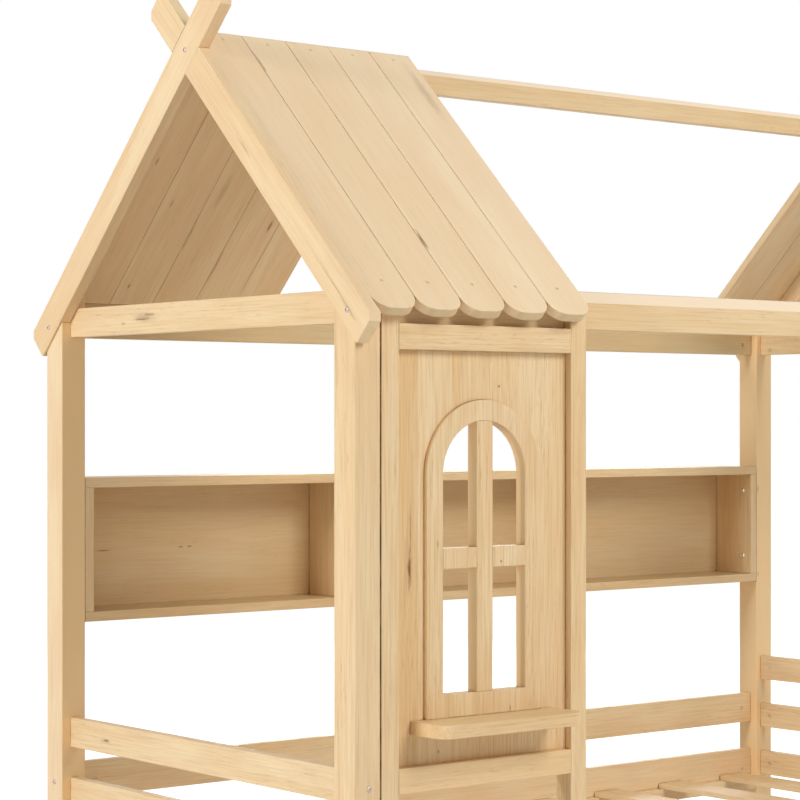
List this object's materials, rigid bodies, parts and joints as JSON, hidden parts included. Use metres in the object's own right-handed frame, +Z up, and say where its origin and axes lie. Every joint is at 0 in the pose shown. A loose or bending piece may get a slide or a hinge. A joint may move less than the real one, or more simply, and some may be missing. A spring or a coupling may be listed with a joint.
{
  "type": "house-shaped platform bed",
  "caption": "Single platform bed in pale pine with a house-shaped frame, part-planked gable roof, arched window panel, slatted base and a long shelf along its rear side.",
  "frame": {"origin": "on the floor, midway between the four posts", "axes": "+X along the bed, away from the window panel; +Y towards the side with the wall shelf; +Z up"},
  "size_m": [2.0648, 1.2025, 1.9872],
  "materials": {
    "pine": "clear satin",
    "beech": "raw",
    "steel": "zinc plated"
  },
  "bodies": {
    "root": {"barrel_nuts": "steel", "deck_slats": "pine", "end_rail_left_1": "pine", "end_rail_left_2": "pine", "end_rail_left_3": "pine", "end_rail_right_1": "pine", "end_rail_right_2": "pine", "end_rail_right_3": "pine", "frame_bolts": "steel", "frame_dowels": "beech", "front_side_rail": "pine", "panel_board": "pine", "panel_mid_rail": "pine", "panel_stile_left": "pine", "panel_stile_right": "pine", "panel_top_rail": "pine", "post_front_left": "pine", "post_front_right": "pine", "post_rear_left": "pine", "post_rear_right": "pine", "rafter_bolts": "steel", "rafter_front_left": "pine", "rafter_front_right": "pine", "rafter_rear_left": "pine", "rafter_rear_right": "pine", "rear_guard_rail": "pine", "rear_side_rail": "pine", "ridge_beam": "pine", "roof_plank_front_left_1": "pine", "roof_plank_front_left_2": "pine", "roof_plank_front_left_3": "pine", "roof_plank_front_left_4": "pine", "roof_plank_front_left_5": "pine", "roof_plank_front_right_1": "pine", "roof_plank_front_right_2": "pine", "roof_plank_rear_left_1": "pine", "roof_plank_rear_left_2": "pine", "roof_plank_rear_left_3": "pine", "roof_plank_rear_left_4": "pine", "roof_plank_rear_left_5": "pine", "roof_plank_rear_right_1": "pine", "roof_plank_rear_right_2": "pine", "shelf_back": "pine", "shelf_bolts": "steel", "shelf_bottom_board": "pine", "shelf_dividers": "pine", "shelf_end_left": "pine", "shelf_end_right": "pine", "shelf_screws": "steel", "shelf_top_board": "pine", "short_screws": "steel", "slat_ledgers": "pine", "tie_beam_left": "pine", "tie_beam_right": "pine", "top_beam_front": "pine", "top_beam_rear": "pine", "window_casing": "pine", "window_cross_bar": "pine", "window_sill": "pine", "window_upright_bar": "pine"}
  },
  "joints": []
}
